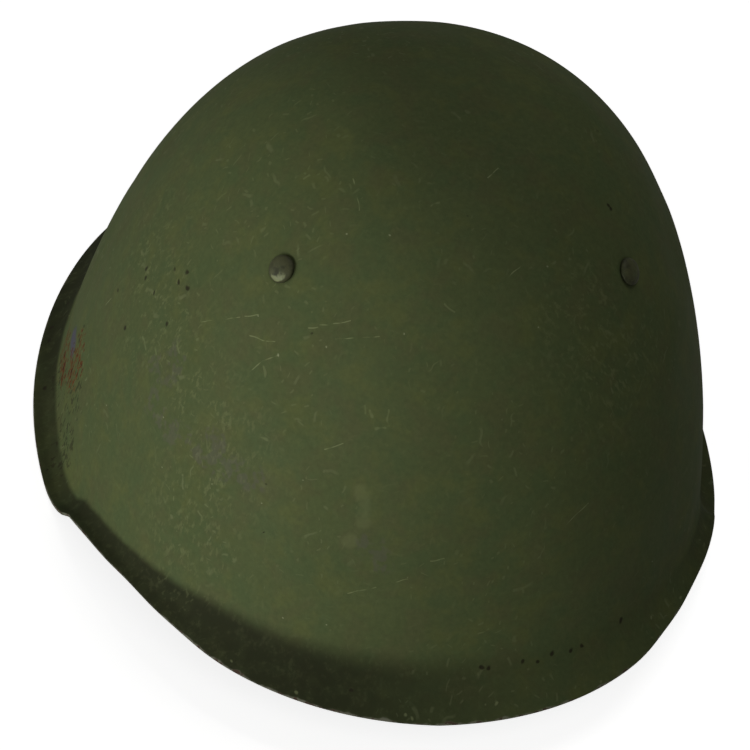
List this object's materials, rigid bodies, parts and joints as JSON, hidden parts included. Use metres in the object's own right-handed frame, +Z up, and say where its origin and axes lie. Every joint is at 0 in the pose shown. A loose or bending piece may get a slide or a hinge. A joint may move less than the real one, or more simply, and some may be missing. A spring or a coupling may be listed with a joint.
{
  "type": "combat helmet",
  "caption": "Pressed steel combat helmet that shields a head: domed crown, rim flared out into a short visor and neck guard, round-headed rivets high on the crown.",
  "frame": {"origin": "middle of the helmet's bounding box at the level of the rim that it rests on", "axes": "+Z up through the crown, -Y the visor (front of the helmet), +X the wearer's left"},
  "size_m": [0.238, 0.287, 0.169],
  "materials": {
    "shell_paint": "worn dull olive green enamel on pressed steel, chipped and rubbed, with a little rust",
    "rivet_paint": "the same olive green enamel over round steel rivet heads, rubbed on top"
  },
  "bodies": {
    "root": {"shell": "shell_paint", "rivet_front_left": "rivet_paint", "rivet_front_right": "rivet_paint"}
  },
  "joints": []
}
